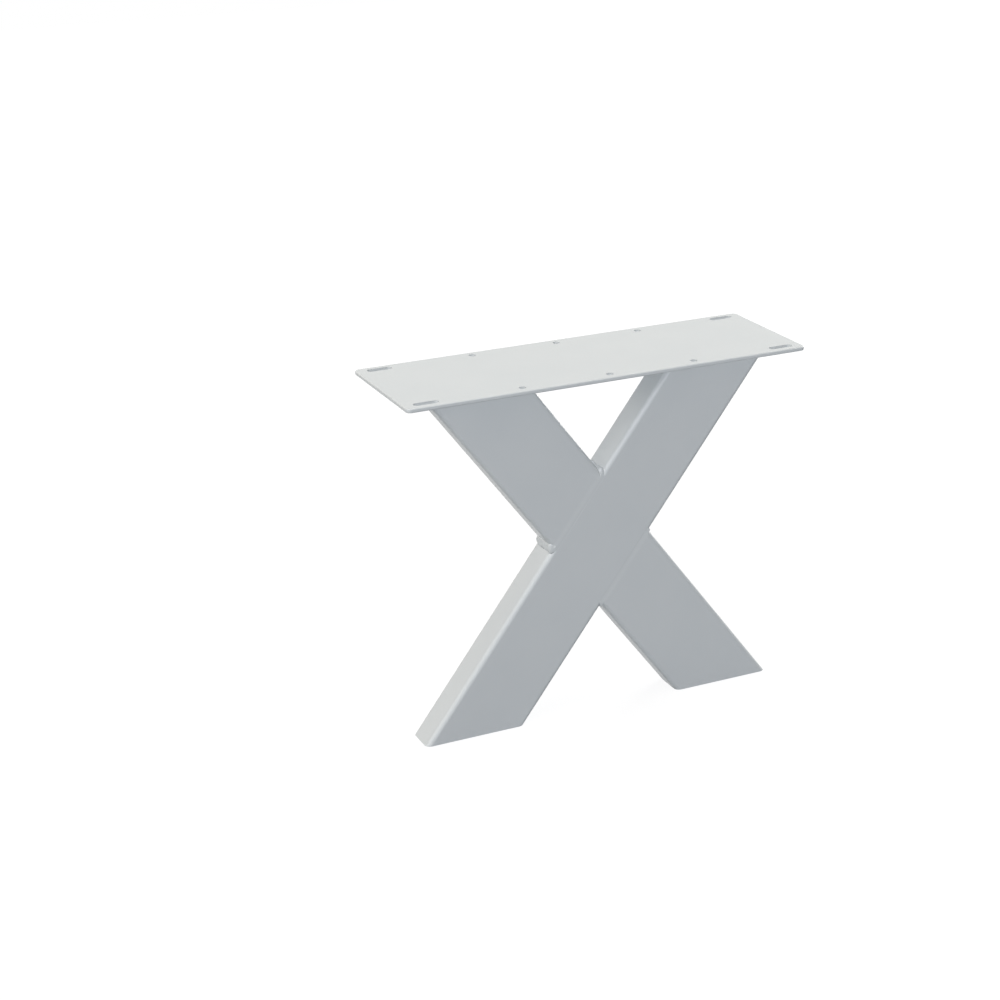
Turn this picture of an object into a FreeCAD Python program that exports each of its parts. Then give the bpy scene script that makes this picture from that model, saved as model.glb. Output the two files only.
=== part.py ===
# X-shaped steel leg for a low table or bench: a welded frame of rectangular tube under a flat
# mounting plate, powder coated in one colour after welding.
#
# Frame: the plate is centred on the Z axis with its long side along X, and the floor is z = 0.
# The crossed tubes stand nearer the plate's front edge, on the -Y side. Millimetres, Z up.
import FreeCAD, Part
import math
import os

Vector = FreeCAD.Vector
os.makedirs("parts", exist_ok=True)

# Driving dimensions
overall_height = 425.0
plate_length = 500.0
plate_width = 160.0
plate_thickness = 5.0
plate_corner_radius = 6.0
plate_edge_round = 1.5
hole_edge_inset = 12.0
slot_end_inset = 27.0
slot_length = 30.0
slot_width = 9.0
round_hole_diameter = 8.5
round_hole_pitch = 108.0
round_holes_per_side = 3
tube_width = 100.0
tube_depth = 40.0
tube_wall = 3.0
tube_corner_radius = 6.0
head_inset = 34.0
foot_span = 456.0
front_setback = 30.0
foot_cap_thickness = 3.0
head_weld_leg = 4.0
weld_toe = 0.3
notch_bead_leg = 4.5
notch_bead_bulge = 0.7
notch_bead_side_inset = 1.0
seam_fill_share = 0.8
drill_overrun = 1.0

# The crossed tubes: their outer edges meet the floor at half the foot span and the plate at the
# head reach, left and right of the middle. Their front faces lie front_setback behind the plate's
# front edge.
plate_underside = overall_height - plate_thickness
head_reach = plate_length / 2 - head_inset
outer_reach = foot_span / 2 + head_reach
tube_angle = math.atan2(plate_underside, outer_reach) + math.asin(
    tube_width / math.hypot(plate_underside, outer_reach))
half_band = tube_width / 2 / math.sin(tube_angle)
foot_x = foot_span / 2 - half_band
head_x = head_reach - half_band
frame_y = front_setback + tube_depth / 2 - plate_width / 2
crossing = Vector(0, frame_y, foot_x * math.tan(tube_angle))
lean = 90 - math.degrees(tube_angle)
overlong = 2 * (overall_height + plate_length)
cavity_width = tube_width - 2 * tube_wall
cavity_depth = tube_depth - 2 * tube_wall
cavity_radius = max(tube_corner_radius - tube_wall, 0)

THROUGH = 1
CROSSED = -1


def rounded_rectangle(length, width, radius, centre=Vector()):
    """Closed wire of a rectangle in the XY plane with rounded corners."""
    x, y = length / 2, width / 2
    if radius <= 0:
        corners = [Vector(-x, -y, 0), Vector(x, -y, 0), Vector(x, y, 0), Vector(-x, y, 0)]
        return Part.makePolygon([centre + c for c in corners + corners[:1]])
    edges = []
    for quarter, (sx, sy) in enumerate([(1, 1), (-1, 1), (-1, -1), (1, -1)]):
        pivot = centre + Vector(sx * (x - radius), sy * (y - radius), 0)
        turns = [math.radians(90 * quarter + step) for step in (0, 45, 90)]
        start, middle, end = [pivot + Vector(radius * math.cos(t), radius * math.sin(t), 0) for t in turns]
        if edges:
            edges.append(Part.makeLine(edges[-1].lastVertex().Point, start))
        edges.append(Part.Arc(start, middle, end).toShape())
    edges.append(Part.makeLine(edges[-1].lastVertex().Point, edges[0].firstVertex().Point))
    return Part.Wire(edges)


def in_tube_frame(shape, hand):
    """Place a shape drawn upright about the origin along the tube that leans to the right (THROUGH)
    or to the left (CROSSED)."""
    turn = FreeCAD.Rotation(Vector(0, 1, 0), hand * lean)
    placed = shape.copy()
    placed.Placement = FreeCAD.Placement(crossing, turn)
    return placed


def tube_prism(hand, width, depth, radius):
    """Endless rounded bar on a tube's centre line."""
    face = Part.Face(rounded_rectangle(width, depth, radius, Vector(0, 0, -overlong / 2)))
    return in_tube_frame(face.extrude(Vector(0, 0, overlong)), hand)


def box_about(x_low, x_high, y_low, y_high, z_low, z_high):
    return Part.makeBox(x_high - x_low, y_high - y_low, z_high - z_low, Vector(x_low, y_low, z_low))


def slab(z_low, z_high):
    """All space between two heights."""
    return box_about(-overlong, overlong, -overlong, overlong, z_low, z_high)


def beyond_through_tube(side):
    """All space past the narrow face of the through tube: -1 is its upper left, 1 its lower right."""
    near, far = tube_width / 2, overlong
    low, high = sorted((side * near, side * far))
    return in_tube_frame(box_about(low, high, -overlong, overlong, -overlong, overlong), THROUGH)


outline = {hand: tube_prism(hand, tube_width, tube_depth, tube_corner_radius) for hand in (THROUGH, CROSSED)}
cavity = {hand: tube_prism(hand, cavity_width, cavity_depth, cavity_radius) for hand in (THROUGH, CROSSED)}
standing_space = slab(0, plate_underside)


def drill(x, y, diameter):
    """Upright cylinder that cuts a round hole through the plate."""
    start = Vector(x, y, plate_underside - drill_overrun)
    return Part.makeCylinder(diameter / 2, plate_thickness + 2 * drill_overrun, start)


def slot_cutter(x, y):
    """Round-ended slot along X through the plate, as the solids that cut it."""
    straight = slot_length - slot_width
    ends = [drill(x + sx * straight / 2, y, slot_width) for sx in (-1, 1)]
    middle = box_about(x - straight / 2, x + straight / 2, y - slot_width / 2, y + slot_width / 2,
                       plate_underside - drill_overrun, overall_height + drill_overrun)
    return ends + [middle]


def top_plate():
    """Flat steel plate with a slot in each corner and a row of round holes along each long edge."""
    blank = Part.Face(rounded_rectangle(plate_length, plate_width, plate_corner_radius,
                                        Vector(0, 0, plate_underside)))
    plate = blank.extrude(Vector(0, 0, plate_thickness))
    rim = [e for e in plate.Edges if abs(e.Vertexes[0].Z - e.Vertexes[-1].Z) < 1e-6]
    plate = plate.makeFillet(min(plate_edge_round, plate_thickness / 3), rim)
    cutters = []
    slot_x = plate_length / 2 - slot_end_inset
    hole_y = plate_width / 2 - hole_edge_inset
    for sy in (-1, 1):
        for sx in (-1, 1):
            cutters += slot_cutter(sx * slot_x, sy * hole_y)
        for place in range(round_holes_per_side):
            x = (place - (round_holes_per_side - 1) / 2) * round_hole_pitch
            cutters.append(drill(x, sy * hole_y, round_hole_diameter))
    return plate.cut(cutters)


def through_tube():
    """The whole tube, from the left foot up to the right head."""
    return outline[THROUGH].cut(cavity[THROUGH]).common(standing_space)


def half_tube(side):
    """One arm of the other tube, cut to butt against the narrow face of the through tube."""
    return outline[CROSSED].cut(cavity[CROSSED]).common(standing_space).common(beyond_through_tube(side))


def foot_cap(hand):
    """Flat plate that closes a foot, let in flush with the floor end of its tube."""
    return cavity[hand].common(slab(0, foot_cap_thickness))


def head_weld(hand):
    """Fillet weld all round a tube's head, in the corner under the plate."""
    corner = tube_corner_radius / math.sin(tube_angle)

    def ring(drop, grow):
        x = hand * (head_x - drop / math.tan(tube_angle))
        centre = Vector(x, frame_y, plate_underside - drop)
        return rounded_rectangle(2 * (half_band + grow), tube_depth + 2 * grow, corner + grow, centre)

    body = Part.makeLoft([ring(0, head_weld_leg), ring(head_weld_leg, weld_toe)], True, True)
    return body.cut(outline[hand])


def seam_fill(side):
    """Welds that fill the groove between the rounded corner of the through tube and the cut end of
    a half tube, ground flush with the wide faces: one in front and one behind."""
    fill = seam_fill_share * tube_corner_radius
    narrow_face = side * tube_width / 2
    low, high = sorted((narrow_face, narrow_face - side * fill))
    band = in_tube_frame(box_about(-tube_width / 2, tube_width / 2, -overlong, overlong, -overlong, overlong),
                         CROSSED)
    strips = []
    for face in (-1, 1):
        y_low, y_high = sorted((face * tube_depth / 2, face * (tube_depth / 2 - fill)))
        strip = in_tube_frame(box_about(low, high, y_low, y_high, -overlong / 2, overlong / 2), THROUGH)
        strips.append(strip.common(band).cut(outline[THROUGH]))
    return strips


def notch_bead(corner, along_through, along_half, fills):
    """Weld bead across the narrow sides, in one of the four inner corners of the X. The directions
    run from the corner along the two narrow sides that meet there."""
    outward = (along_through + along_half).normalize()
    toe_a = corner + along_through * notch_bead_leg
    toe_b = corner + along_half * notch_bead_leg
    crest = (toe_a + toe_b) * 0.5 + outward * notch_bead_bulge
    root = corner - outward * tube_corner_radius
    edges = [Part.makeLine(root, toe_a), Part.Arc(toe_a, crest, toe_b).toShape(), Part.makeLine(toe_b, root)]
    width = tube_depth - 2 * notch_bead_side_inset
    bead = Part.Face(Part.Wire(edges)).extrude(Vector(0, width, 0))
    bead.translate(Vector(0, -width / 2, 0))
    return bead.cut([outline[THROUGH], outline[CROSSED]] + fills)


def write(name, solids):
    shape = Part.makeCompound(solids) if len(solids) > 1 else solids[0].removeSplitter()
    shape.exportStep(f"parts/{name}.step")
    bounds = shape.optimalBoundingBox(False)
    print(f"{name}: {len(shape.Solids)} solid, {shape.Volume / 1000:.2f} cm3, valid {shape.isValid()}, "
          f"z {bounds.ZMin:.2f} to {bounds.ZMax:.2f}")


# Directions along the narrow sides, and the four inner corners of the X
right_up = Vector(math.cos(tube_angle), 0, math.sin(tube_angle))
left_up = Vector(-math.cos(tube_angle), 0, math.sin(tube_angle))
notch_rise = half_band * math.tan(tube_angle)
upper_fills = seam_fill(-1)
lower_fills = seam_fill(1)

write("top_plate", [top_plate()])
write("through_tube", [through_tube()])
write("upper_half_tube", [half_tube(-1)])
write("lower_half_tube", [half_tube(1)])
write("left_foot_cap", [foot_cap(THROUGH)])
write("right_foot_cap", [foot_cap(CROSSED)])
write("right_head_weld", [head_weld(THROUGH)])
write("left_head_weld", [head_weld(CROSSED)])
write("upper_seam_welds", upper_fills)
write("lower_seam_welds", lower_fills)
write("left_notch_weld", [notch_bead(crossing - Vector(half_band, 0, 0), -right_up, left_up, upper_fills)])
write("top_notch_weld", [notch_bead(crossing + Vector(0, 0, notch_rise), right_up, left_up, upper_fills)])
write("right_notch_weld", [notch_bead(crossing + Vector(half_band, 0, 0), right_up, -left_up, lower_fills)])
write("bottom_notch_weld", [notch_bead(crossing - Vector(0, 0, notch_rise), -right_up, -left_up, lower_fills)])
print(f"tube angle {math.degrees(tube_angle):.2f} degrees, crossing at {crossing.z:.1f} mm")
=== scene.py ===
import math

import bmesh
import bpy
from mathutils import Matrix, Vector, noise


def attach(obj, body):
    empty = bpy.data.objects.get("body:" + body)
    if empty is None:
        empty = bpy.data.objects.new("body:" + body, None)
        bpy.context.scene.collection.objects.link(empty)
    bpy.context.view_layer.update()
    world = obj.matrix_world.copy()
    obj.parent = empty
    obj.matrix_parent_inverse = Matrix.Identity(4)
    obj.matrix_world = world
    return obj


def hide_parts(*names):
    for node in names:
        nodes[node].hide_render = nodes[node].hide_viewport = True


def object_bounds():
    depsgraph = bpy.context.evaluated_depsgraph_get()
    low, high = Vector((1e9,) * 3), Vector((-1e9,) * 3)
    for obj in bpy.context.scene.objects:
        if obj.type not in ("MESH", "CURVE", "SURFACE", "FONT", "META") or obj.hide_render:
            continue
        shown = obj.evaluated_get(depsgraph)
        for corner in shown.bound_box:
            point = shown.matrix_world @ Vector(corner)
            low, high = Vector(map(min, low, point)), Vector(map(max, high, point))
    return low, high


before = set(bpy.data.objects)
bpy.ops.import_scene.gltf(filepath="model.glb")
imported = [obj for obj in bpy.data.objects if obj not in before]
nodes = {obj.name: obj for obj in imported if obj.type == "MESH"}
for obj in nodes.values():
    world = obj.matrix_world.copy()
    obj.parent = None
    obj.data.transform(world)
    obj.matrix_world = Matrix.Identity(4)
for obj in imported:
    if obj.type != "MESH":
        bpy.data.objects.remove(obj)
cad_low, cad_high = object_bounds()
scene = bpy.context.scene
scene.view_settings.view_transform = "Standard"


# Mounting plate
# Flat steel plate, laser cut with rounded corners, a slot in each corner and a row of screw holes
# along each long edge. It is welded on the two tube heads and coated with them.
MM = 0.001


def linear(hex_colour):
    """sRGB hex to the linear colour that a shader takes."""
    channels = [int(hex_colour[i:i + 2], 16) / 255 for i in (1, 3, 5)]
    return [c / 12.92 if c <= 0.04045 else ((c + 0.055) / 1.055) ** 2.4 for c in channels] + [1.0]


def add_node(tree, kind, links=None, **settings):
    """Adds a node. links gives each input a socket or a value, and settings go on the node itself."""
    node = tree.nodes.new(kind)
    for name, value in settings.items():
        setattr(node, name, value)
    for name, value in (links or {}).items():
        if isinstance(value, bpy.types.NodeSocket):
            tree.links.new(value, node.inputs[name])
        else:
            node.inputs[name].default_value = value
    return node


def empty_material(name):
    """A material and its node tree, with no nodes in it."""
    material = bpy.data.materials.new(name)
    material.use_nodes = True
    material.node_tree.nodes.clear()
    return material, material.node_tree


# Powder coat: sprayed as powder and baked, so it is one even opaque film about 0.1 mm thick. To the
# eye it is satin, cloudy over about 70 mm, with an orange peel whose waves are 1.6 mm apart.
COAT_COLOUR = "#D6D9D8"
COAT_SHADE = "#CFD3D3"
COAT_CLOUD = 70 * MM
COAT_PEEL = 1.6 * MM
COAT_PEEL_HEIGHT = 0.03 * MM
PEEL_SPREAD = (0.3, 0.7)
COAT_ROUGHNESS = (0.31, 0.37)
COAT_IOR = 1.5


def powder_coat(name):
    """Coated steel. Returns the material, its tree, its tint and bump nodes and its shader, so that
    a piece can add its own marks between them."""
    material, tree = empty_material(name)
    place = add_node(tree, "ShaderNodeTexCoord").outputs["Object"]
    cloud = add_node(tree, "ShaderNodeTexNoise",
                     {"Vector": place, "Scale": 1 / COAT_CLOUD, "Detail": 3.0})
    tint = add_node(tree, "ShaderNodeMix",
                    {0: cloud.outputs["Fac"], 6: linear(COAT_COLOUR), 7: linear(COAT_SHADE)},
                    data_type="RGBA")
    peel = add_node(tree, "ShaderNodeTexNoise",
                    {"Vector": place, "Scale": 1 / COAT_PEEL, "Detail": 1.0})
    rough = add_node(tree, "ShaderNodeMapRange",
                     {"Value": peel.outputs["Fac"], "From Min": PEEL_SPREAD[0], "From Max": PEEL_SPREAD[1],
                      "To Min": COAT_ROUGHNESS[0], "To Max": COAT_ROUGHNESS[1]})
    bump = add_node(tree, "ShaderNodeBump",
                    {"Height": peel.outputs["Fac"], "Distance": COAT_PEEL_HEIGHT, "Strength": 1.0})
    shader = add_node(tree, "ShaderNodeBsdfPrincipled",
                      {"Base Color": tint.outputs[2], "Roughness": rough.outputs["Result"],
                       "IOR": COAT_IOR, "Normal": bump.outputs["Normal"]})
    add_node(tree, "ShaderNodeOutputMaterial", {"Surface": shader.outputs["BSDF"]})
    return material, tree, tint, bump, shader


def finish_node(name, material):
    """Gives a CAD node its material."""
    slots = nodes[name].data.materials
    slots.clear()
    slots.append(material)


plate_coat = powder_coat("powder_coated_plate")[0]
finish_node("top_plate", plate_coat)


# Through tube, two half tubes and foot caps
# Rectangular steel tube. The first runs whole from the left foot to the right head, and the other
# is cut in two and butted on its narrow faces, with the seams ground flush. Caps close the feet.
TUBE_WIDTH = 100 * MM
TUBE_CORNER = 6 * MM
SEAM_REACH = 5 * MM
SEAM_GRAIN = 9 * MM
SEAM_HEIGHT = 0.12 * MM
SEAM_COLOUR = "#E0E3E2"
SEAM_TINT = 0.5


def node_box(name):
    """Lowest and highest corner of a CAD node."""
    corners = [nodes[name].matrix_world @ Vector(c) for c in nodes[name].bound_box]
    low = Vector([min(c[i] for c in corners) for i in range(3)])
    high = Vector([max(c[i] for c in corners) for i in range(3)])
    return low, high


tube_low, tube_high = node_box("through_tube")
tube_run = tube_high - tube_low
tube_depth = tube_run.y
tube_angle = (math.atan2(tube_run.z, tube_run.x)
              + math.asin(TUBE_WIDTH / math.hypot(tube_run.z, tube_run.x)))
half_band = TUBE_WIDTH / 2 / math.sin(tube_angle)
crossing_height = (-tube_low.x - half_band) * math.tan(tube_angle)
crossing = Vector((0, (tube_low.y + tube_high.y) / 2, crossing_height))
right_up = Vector((math.cos(tube_angle), 0, math.sin(tube_angle)))
left_up = Vector((-math.cos(tube_angle), 0, math.sin(tube_angle)))


def off_centre_line(tree, place, along):
    """Distance from the centre plane of a tube that runs along the given direction."""
    across = Vector((along.z, 0, -along.x))
    side = add_node(tree, "ShaderNodeVectorMath", {0: place, 1: across}, operation="DOT_PRODUCT")
    past_middle = add_node(tree, "ShaderNodeMath",
                           {0: side.outputs["Value"], 1: crossing.dot(across)},
                           operation="SUBTRACT")
    return add_node(tree, "ShaderNodeMath", {0: past_middle.outputs[0]}, operation="ABSOLUTE").outputs[0]


def seamed_coat(name):
    """Coat over the seams between the tubes, where grinding left a slightly uneven strip."""
    material, tree, tint, bump, shader = powder_coat(name)
    place = add_node(tree, "ShaderNodeTexCoord").outputs["Object"]
    past_seam = add_node(tree, "ShaderNodeMath",
                         {0: off_centre_line(tree, place, right_up), 1: TUBE_WIDTH / 2},
                         operation="SUBTRACT")
    off_seam = add_node(tree, "ShaderNodeMath", {0: past_seam.outputs[0]}, operation="ABSOLUTE")
    strip = add_node(tree, "ShaderNodeMapRange",
                     {"Value": off_seam.outputs[0], "From Min": SEAM_REACH, "From Max": 0.0},
                     interpolation_type="SMOOTHSTEP")
    on_half_tube = add_node(tree, "ShaderNodeMath",
                            {0: off_centre_line(tree, place, left_up), 1: TUBE_WIDTH / 2},
                            operation="LESS_THAN")
    ground_strip = add_node(tree, "ShaderNodeMath",
                            {0: strip.outputs["Result"], 1: on_half_tube.outputs[0]},
                            operation="MULTIPLY")
    grain = add_node(tree, "ShaderNodeTexNoise",
                     {"Vector": place, "Scale": 1 / SEAM_GRAIN, "Detail": 2.0})
    seam = add_node(tree, "ShaderNodeMath",
                    {0: ground_strip.outputs[0], 1: grain.outputs["Fac"]},
                    operation="MULTIPLY").outputs[0]
    share = add_node(tree, "ShaderNodeMath", {0: seam, 1: SEAM_TINT}, operation="MULTIPLY")
    lighter = add_node(tree, "ShaderNodeMix",
                       {0: share.outputs[0], 6: tint.outputs[2], 7: linear(SEAM_COLOUR)},
                       data_type="RGBA")
    uneven = add_node(tree, "ShaderNodeBump",
                      {"Height": seam, "Distance": SEAM_HEIGHT, "Strength": 1.0,
                       "Normal": bump.outputs["Normal"]})
    tree.links.new(lighter.outputs[2], shader.inputs["Base Color"])
    tree.links.new(uneven.outputs["Normal"], shader.inputs["Normal"])
    return material


tube_coat = seamed_coat("powder_coated_tube")
for name in ("through_tube", "upper_half_tube", "lower_half_tube", "left_foot_cap", "right_foot_cap",
             "upper_seam_welds", "lower_seam_welds"):
    finish_node(name, tube_coat)


# Welds
# Fillet welds round both heads and across the four inner corners of the X. Each is laid by hand
# in one pass of overlapping drops, and then coated with the steel.
HEAD_LEG = 4 * MM
BEAD_BULGE = 0.4 * MM
DROP_PITCH = 0.7
DROP_HEIGHT = 0.15
BEAD_WANDER = 0.2
BEAD_WANDER_LENGTH = 7 * MM
BEAD_SUNK = 0.15 * MM
BEAD_ROOT = 0.6 * MM
BEAD_STATIONS = 10
BEAD_POINTS = 11
DROP_CURVE = 1.2
DROP_DRIFT = 2
NOTCH_END = 1.6 * MM
NOTCH_FILL = 0.6
BLUNT_END = 0.1 * MM
NOTCH_INSET = 0.3 * MM
bead_coat = powder_coat("powder_coated_weld")[0]


def bead_surface(travelled, across, leg, seed):
    """Height of a bead's surface over its chord, and how much wider it is here than its usual leg.
    across runs from -1 to 1 between the toes. The drops grow with the leg."""
    wander = BEAD_WANDER * noise.noise(Vector((travelled / BEAD_WANDER_LENGTH, seed, 0)))
    crown = 1 - across * across
    drop = travelled / (DROP_PITCH * leg) - DROP_CURVE * crown / 2 + DROP_DRIFT * wander
    scallop = DROP_HEIGHT * leg * abs(math.sin(math.pi * drop))
    return (BEAD_BULGE + scallop) * crown, 1 + wander


def sweep(name, rings, closed, replaced):
    """Closed mesh through rings of points, which meet end to end or are capped."""
    points = len(rings[0])
    faces = []
    for i in range(len(rings) if closed else len(rings) - 1):
        here = i * points
        there = (i + 1) % len(rings) * points
        for j in range(points):
            k = (j + 1) % points
            faces.append((here + j, here + k, there + k, there + j))
    if not closed:
        last = (len(rings) - 1) * points
        faces += [tuple(reversed(range(points))), tuple(range(last, last + points))]
    mesh = bpy.data.meshes.new(name)
    mesh.from_pydata([p for ring in rings for p in ring], [], faces)
    shape = bmesh.new()
    shape.from_mesh(mesh)
    bmesh.ops.recalc_face_normals(shape, faces=shape.faces)
    shape.to_mesh(mesh)
    shape.free()
    mesh.shade_smooth()
    mesh.materials.append(bead_coat)
    piece = bpy.data.objects.new(name, mesh)
    scene.collection.objects.link(piece)
    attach(piece, "root")
    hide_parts(replaced)


def notch_bead(place, corner, along_a, along_b, usual_leg, seed):
    """Bead in an inner corner of the X, from the front to the back of the tubes. Its toes follow
    their rounded corners at both ends, and it partly fills the groove between them."""
    outward = (along_a + along_b).normalized()
    half_opening = math.acos(outward.dot(along_a))
    reach = tube_depth / 2 - NOTCH_INSET
    steps = round(2 * reach / (DROP_PITCH * usual_leg) * BEAD_STATIONS)
    rings = []
    for i in range(steps + 1):
        y = (2 * i / steps - 1) * reach
        rounded = max(0.0, abs(y) - (tube_depth / 2 - TUBE_CORNER))
        recess = TUBE_CORNER - math.sqrt(TUBE_CORNER ** 2 - rounded ** 2)
        root = corner + Vector((0, y, 0)) - outward * recess / math.sin(half_opening)
        to_end = min(1.0, (reach - abs(y) + BLUNT_END) / NOTCH_END)
        ending = math.sqrt(1 - (1 - to_end) ** 2)
        ring = [root - outward * TUBE_CORNER]
        for j in range(BEAD_POINTS):
            across = 2 * j / (BEAD_POINTS - 1) - 1
            rise, wider = bead_surface(y + reach, across, usual_leg, seed)
            rise += NOTCH_FILL * recess / math.sin(half_opening) * (1 - across * across)
            leg = usual_leg * wider * ending
            chord = (along_a * (1 - across) + along_b * (1 + across)) * leg / 2
            ring.append(root + chord + outward * (rise * ending - BEAD_SUNK))
        rings.append(ring)
    sweep(f"{place}_notch_bead", rings, False, f"{place}_notch_weld")


head_x = tube_high.x - half_band
long_corner = TUBE_CORNER / math.sin(tube_angle)


def head_point(hand, travelled, out, drop):
    """Point by a tube's head: out from its outline there and down along its side. travelled goes
    round the outline, a rectangle with corners that the tube's lean draws out along X."""
    sides = [2 * (tube_depth / 2 - TUBE_CORNER), 2 * (half_band - long_corner)] * 2
    turn_length = math.pi / 2 * long_corner
    pivot = Vector((half_band - long_corner, TUBE_CORNER - tube_depth / 2, 0))
    heading = 0.0
    for side in sides:
        if travelled <= side:
            pivot += Vector((-math.sin(heading), math.cos(heading), 0)) * travelled
            break
        travelled -= side
        pivot += Vector((-math.sin(heading), math.cos(heading), 0)) * side
        if travelled <= turn_length:
            heading += travelled / long_corner
            break
        travelled -= turn_length
        heading += math.pi / 2
    away = Vector((math.cos(heading) * (long_corner + out), math.sin(heading) * (TUBE_CORNER + out), 0))
    centre_x = hand * (head_x - drop / math.tan(tube_angle))
    return Vector((centre_x, crossing.y, tube_high.z - drop)) + pivot + away


def head_bead(place, hand, seed):
    """Fillet weld that runs all round a tube's head, in the corner under the plate."""
    straights = 4 * (tube_depth / 2 - TUBE_CORNER) + 4 * (half_band - long_corner)
    round_trip = straights + 2 * math.pi * long_corner
    steps = round(round_trip / (DROP_PITCH * HEAD_LEG)) * BEAD_STATIONS
    rings = []
    for i in range(steps):
        travelled = i / steps * round_trip
        ring = [head_point(hand, travelled, -BEAD_ROOT, -BEAD_SUNK)]
        for j in range(BEAD_POINTS):
            across = 2 * j / (BEAD_POINTS - 1) - 1
            rise, wider = bead_surface(travelled, across, HEAD_LEG, seed)
            leg = HEAD_LEG * wider
            bulge = (rise - BEAD_SUNK) / math.sqrt(2)
            out = (1 - across) / 2 * leg + bulge
            drop = (1 + across) / 2 * leg + bulge
            ring.append(head_point(hand, travelled, out, drop))
        rings.append(ring)
    sweep(f"{place}_head_bead", rings, True, f"{place}_head_weld")


head_bead("right", hand=1, seed=7.5)
head_bead("left", hand=-1, seed=-7.5)
notch_rise = Vector((0, 0, half_band * math.tan(tube_angle)))
notch_reach = Vector((half_band, 0, 0))
notch_bead("left", crossing - notch_reach, -right_up, left_up, usual_leg=7 * MM, seed=1.5)
notch_bead("top", crossing + notch_rise, right_up, left_up, usual_leg=5.5 * MM, seed=4.5)
notch_bead("right", crossing + notch_reach, right_up, -left_up, usual_leg=3 * MM, seed=11.5)
notch_bead("bottom", crossing - notch_rise, -right_up, -left_up, usual_leg=3 * MM, seed=15.5)


# Floor
# Plain white studio ground. Near the leg it takes the shadow; further out it is plain white. It
# lights the leg only as a grey ground would: in the photograph the sides show no glow from below.
FLOOR_HALF = 6.0
FLOOR_COLOUR = "#F4F4F4"
FLOOR_BOUNCE = "#8A9097"
SHADOW_SHARE = 0.25
SHADOW_REACH = (0.6, 1.6)
GROUND_GLOW = 1.1
floor_mesh = bpy.data.meshes.new("floor")
floor_corners = [(x * FLOOR_HALF, y * FLOOR_HALF, 0) for x, y in ((-1, -1), (1, -1), (1, 1), (-1, 1))]
floor_mesh.from_pydata(floor_corners, [], [(0, 1, 2, 3)])
floor = bpy.data.objects.new("floor", floor_mesh)
scene.collection.objects.link(floor)


def white_rays(tree):
    """1 for rays that should see plain white: from the camera, in gloss and through glass."""
    path = add_node(tree, "ShaderNodeLightPath").outputs
    seen = add_node(tree, "ShaderNodeMath",
                    {0: path["Is Camera Ray"], 1: path["Is Glossy Ray"]},
                    operation="MAXIMUM")
    return add_node(tree, "ShaderNodeMath",
                    {0: seen.outputs[0], 1: path["Is Transmission Ray"]},
                    operation="MAXIMUM").outputs[0]


ground, tree = empty_material("white_studio_ground")
place = add_node(tree, "ShaderNodeTexCoord").outputs["Object"]
reach = add_node(tree, "ShaderNodeVectorMath", {0: place}, operation="LENGTH").outputs["Value"]
share = add_node(tree, "ShaderNodeMapRange",
                 {"Value": reach, "From Min": SHADOW_REACH[0], "From Max": SHADOW_REACH[1],
                  "To Min": 1 - SHADOW_SHARE, "To Max": 1.0},
                 interpolation_type="SMOOTHSTEP").outputs["Result"]
seen = white_rays(tree)
plain = add_node(tree, "ShaderNodeMath", {0: share, 1: seen}, operation="MULTIPLY").outputs[0]
ground_colour = add_node(tree, "ShaderNodeMix",
                         {0: seen, 6: linear(FLOOR_BOUNCE), 7: linear(FLOOR_COLOUR)},
                         data_type="RGBA").outputs[2]
matt = add_node(tree, "ShaderNodeBsdfDiffuse", {"Color": ground_colour}).outputs[0]
glow = add_node(tree, "ShaderNodeEmission", {"Strength": GROUND_GLOW}).outputs[0]
ground_mix = add_node(tree, "ShaderNodeMixShader", {0: plain, 1: matt, 2: glow}).outputs[0]
add_node(tree, "ShaderNodeOutputMaterial", {"Surface": ground_mix})
floor_mesh.materials.append(ground)


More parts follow.
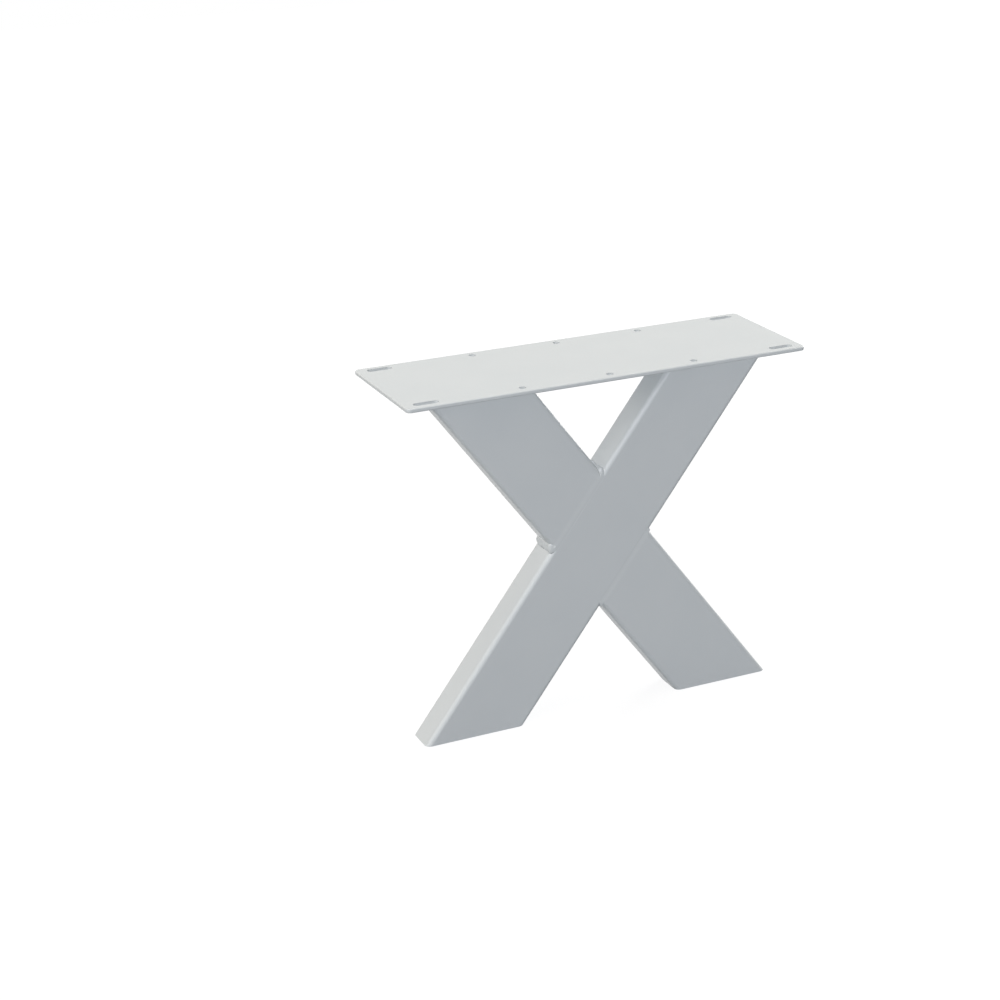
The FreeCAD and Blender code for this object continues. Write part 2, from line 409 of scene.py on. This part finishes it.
# Studio light
# Soft boxes overhead, on the right, behind, on the left and at the front left, and a faint even fill.
# The front one casts no shadow: in the photograph the plate leaves no dark band on the tubes.
FILL_STRENGTH = 0.06
WHITE_STRENGTH = 1.0
BOX_DISTANCE = 9.0
world = bpy.data.worlds.new("studio")
scene.world = world
world.use_nodes = True
world.node_tree.nodes.clear()
tree = world.node_tree
fill = add_node(tree, "ShaderNodeBackground", {"Color": linear("#FFFFFF"), "Strength": FILL_STRENGTH})
white = add_node(tree, "ShaderNodeBackground", {"Color": linear("#FFFFFF"), "Strength": WHITE_STRENGTH})
sky = add_node(tree, "ShaderNodeMixShader",
               {0: white_rays(tree), 1: fill.outputs[0], 2: white.outputs[0]})
add_node(tree, "ShaderNodeOutputWorld", {"Surface": sky.outputs[0]})
leg_middle = (cad_low + cad_high) / 2


def soft_box(name, direction, size, power, colour):
    """Square lamp that faces the middle of the leg from the given direction."""
    lamp = bpy.data.lights.new(name, "AREA")
    lamp.size = size
    lamp.energy = power
    lamp.color = linear(colour)[:3]
    box = bpy.data.objects.new(name, lamp)
    scene.collection.objects.link(box)
    away = Vector(direction).normalized()
    box.location = leg_middle + away * BOX_DISTANCE
    box.rotation_mode = "QUATERNION"
    box.rotation_quaternion = away.to_track_quat("Z", "Y")
    return lamp


soft_box("overhead_soft_box", direction=(0.05, 0.05, 1), size=7.2, power=255, colour="#FFFDF5")
soft_box("right_soft_box", direction=(0.9, 0.55, 0.3), size=4.0, power=450, colour="#FFFFFF")
soft_box("rear_soft_box", direction=(-0.3, 0.9, 0.35), size=7.2, power=95, colour="#FFF5E8")
soft_box("left_soft_box", direction=(-0.9, -0.1, 0.45), size=5.4, power=205, colour="#FFF8EC")
front_box = soft_box("front_soft_box", direction=(-0.4, -0.65, 0.65), size=9.0, power=690, colour="#F5F7FE")
front_box.use_shadow = False


# Camera
# The photograph's viewpoint: from the front left, a little above the plate, with a long lens.
VIEW_AZIMUTH = -24.38
VIEW_ELEVATION = 21.17
VIEW_ROLL = -0.98
VIEW_DISTANCE = 2.42
VIEW_AIM = Vector((-0.0830, 0.0525, 0.2468))
VIEW_LENS = 73.57
azimuth = math.radians(VIEW_AZIMUTH)
elevation = math.radians(VIEW_ELEVATION)
level = Vector((math.sin(azimuth), -math.cos(azimuth), 0))
back = level * math.cos(elevation) + Vector((0, 0, math.sin(elevation)))
camera_data = bpy.data.cameras.new("camera")
camera_data.lens = VIEW_LENS
camera = bpy.data.objects.new("camera", camera_data)
scene.collection.objects.link(camera)
scene.camera = camera
camera.location = VIEW_AIM + back * VIEW_DISTANCE
camera.rotation_mode = "QUATERNION"
turn = Matrix.Rotation(math.radians(VIEW_ROLL), 4, "Z").to_quaternion()
camera.rotation_quaternion = back.to_track_quat("Z", "Y") @ turn
